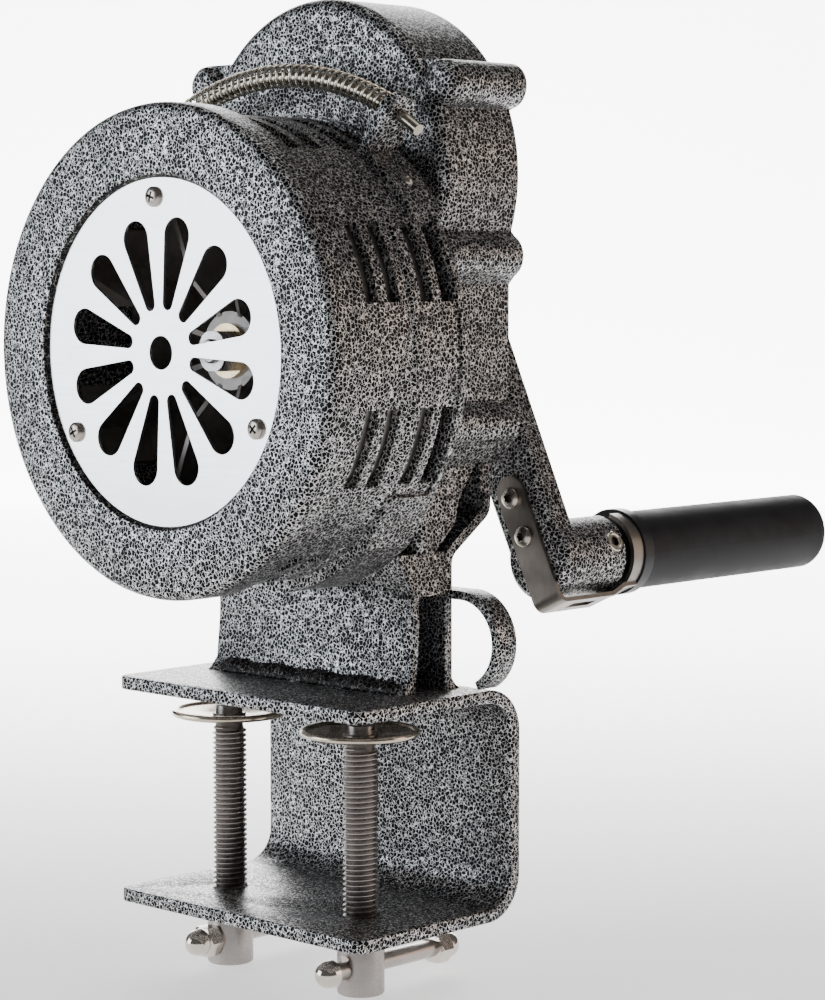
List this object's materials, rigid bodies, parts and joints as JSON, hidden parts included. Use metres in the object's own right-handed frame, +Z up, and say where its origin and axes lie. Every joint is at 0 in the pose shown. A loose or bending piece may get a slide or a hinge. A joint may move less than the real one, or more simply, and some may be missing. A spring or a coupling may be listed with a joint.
{
  "type": "hand crank siren",
  "caption": "Hand crank siren for a table edge: slotted drum behind a petal grille, geared crank arm with folding grip, carry handle, side hook and screw clamp.",
  "frame": {"origin": "middle of the flat underside of the upper clamp jaw, where the siren rests on the table", "axes": "+Z up, +Y along the rotor's axis from the intake grille to the crank, +X to the side with the hook"},
  "size_m": [0.16, 0.2643, 0.3316],
  "materials": {
    "hammertone_paint": "hammertone enamel, silver and black, glossy",
    "grille_steel": "bright polished sheet",
    "screw_nickel": "nickel plated, slightly worn",
    "rotor_aluminium": "as cast and turned",
    "machined_steel": "turned",
    "washer_brass": "turned",
    "gear_steel": "cut and oiled",
    "bearing_steel": "ground",
    "bush_bronze": "sintered, oiled",
    "spring_nickel": "nickel plated wire",
    "leaf_steel": "dark satin spring steel with bright edges",
    "pin_nickel": "nickel plated",
    "clamp_screw_steel": "rolled thread, zinc grey",
    "pad_passivated": "pressed and passivated, brownish",
    "bar_steel": "drawn, satin grey",
    "acorn_nickel": "polished nickel",
    "collar_black": "satin black",
    "grip_black": "satin black"
  },
  "bodies": {
    "base": {"front_flange_ring": "hammertone_paint", "grille_plate": "grille_steel", "grille_screws": "screw_nickel", "drum_front_half": "hammertone_paint", "drum_rear_half": "hammertone_paint", "drum_back_plate": "hammertone_paint", "drum_screws": "screw_nickel", "drum_foot": "hammertone_paint", "bearing_outer_rings": "bearing_steel", "lay_bushes": "bush_bronze", "crank_bushes": "bush_bronze", "gearbox_housing": "hammertone_paint", "bearing_plate": "hammertone_paint", "cover_screws": "screw_nickel", "stand_back_plate": "hammertone_paint", "stand_front_plate": "hammertone_paint", "carry_hook": "hammertone_paint", "clamp_bracket": "hammertone_paint", "handle_lug_right": "hammertone_paint", "handle_lug_left": "hammertone_paint", "handle_rod": "machined_steel", "handle_spring": "spring_nickel", "lug_rivets": "screw_nickel"},
    "rotor_body": {"rotor": "rotor_aluminium", "rotor_shaft": "machined_steel", "rotor_washer": "washer_brass", "rotor_nut": "machined_steel", "rotor_pinion": "gear_steel", "bearing_inner_rings": "bearing_steel"},
    "layshaft_body": {"layshaft": "machined_steel", "lay_gear": "gear_steel", "lay_pinion": "gear_steel"},
    "crank_body": {"crank_shaft": "machined_steel", "crank_gear": "gear_steel", "crank_arm": "hammertone_paint", "crank_washer": "machined_steel", "crank_nut": "machined_steel", "latch_spring": "leaf_steel", "latch_screws": "screw_nickel", "fold_pin": "pin_nickel"},
    "spindle_body": {"grip_spindle": "leaf_steel", "grip_collar": "collar_black", "grip_end_screw": "machined_steel"},
    "grip_body": {"grip": "grip_black"},
    "pad_left": {"swivel_pad_left": "pad_passivated"},
    "screw_left": {"clamp_screw_left": "clamp_screw_steel"},
    "bar_left": {"tommy_bar_left": "bar_steel", "acorn_nuts_left": "acorn_nickel"},
    "pad_right": {"swivel_pad_right": "pad_passivated"},
    "screw_right": {"clamp_screw_right": "clamp_screw_steel"},
    "bar_right": {"tommy_bar_right": "bar_steel", "acorn_nuts_right": "acorn_nickel"}
  },
  "joints": [
    {"name": "crank_turn", "type": "hinge", "parent": "base", "child": "crank_body", "pos_m": [0, 0, 0.1781], "axis": [0, 1, 0], "continuous": true},
    {"name": "layshaft_turn", "type": "hinge", "parent": "base", "child": "layshaft_body", "pos_m": [0.02625, 0, 0.13263], "axis": [0, 1, 0], "continuous": true},
    {"name": "rotor_spin", "type": "hinge", "parent": "base", "child": "rotor_body", "pos_m": [0, 0, 0.1181], "axis": [0, 1, 0], "continuous": true},
    {"name": "grip_fold", "type": "hinge", "parent": "crank_body", "child": "spindle_body", "pos_m": [0.06128, 0.07375, 0.04669], "axis": [0.9063, 0, 0.4226], "range_deg": [0, 90], "deforming": ["latch_spring"]},
    {"name": "grip_turn", "type": "hinge", "parent": "spindle_body", "child": "grip_body", "pos_m": [0.06128, 0.13325, 0.04669], "axis": [0, 1, 0], "continuous": true},
    {"name": "pad_lift_left", "type": "slide", "parent": "base", "child": "pad_left", "axis": [0, 0, 1], "range_m": [-0.0543, 0]},
    {"name": "screw_turn_left", "type": "hinge", "parent": "pad_left", "child": "screw_left", "pos_m": [-0.0319, -0.00835, -0.0419], "axis": [0, 0, 1], "range_deg": [-11160, 0]},
    {"name": "bar_slide_left", "type": "slide", "parent": "screw_left", "child": "bar_left", "axis": [0, -1, 0], "range_m": [0, 0.0264]},
    {"name": "pad_lift_right", "type": "slide", "parent": "base", "child": "pad_right", "axis": [0, 0, 1], "range_m": [-0.0543, 0]},
    {"name": "screw_turn_right", "type": "hinge", "parent": "pad_right", "child": "screw_right", "pos_m": [0.0319, -0.00835, -0.0419], "axis": [0, 0, 1], "range_deg": [-11160, 0]},
    {"name": "bar_slide_right", "type": "slide", "parent": "screw_right", "child": "bar_right", "axis": [0, -1, 0], "range_m": [0, 0.0264]}
  ],
  "couplings": [
    {"joint": "layshaft_turn", "follows": "crank_turn", "ratio": -6},
    {"joint": "rotor_spin", "follows": "crank_turn", "ratio": 18},
    {"joint": "pad_lift_left", "follows": "screw_turn_left", "m_per_rad": 0.00027852},
    {"joint": "pad_lift_right", "follows": "screw_turn_right", "m_per_rad": 0.00027852}
  ]
}
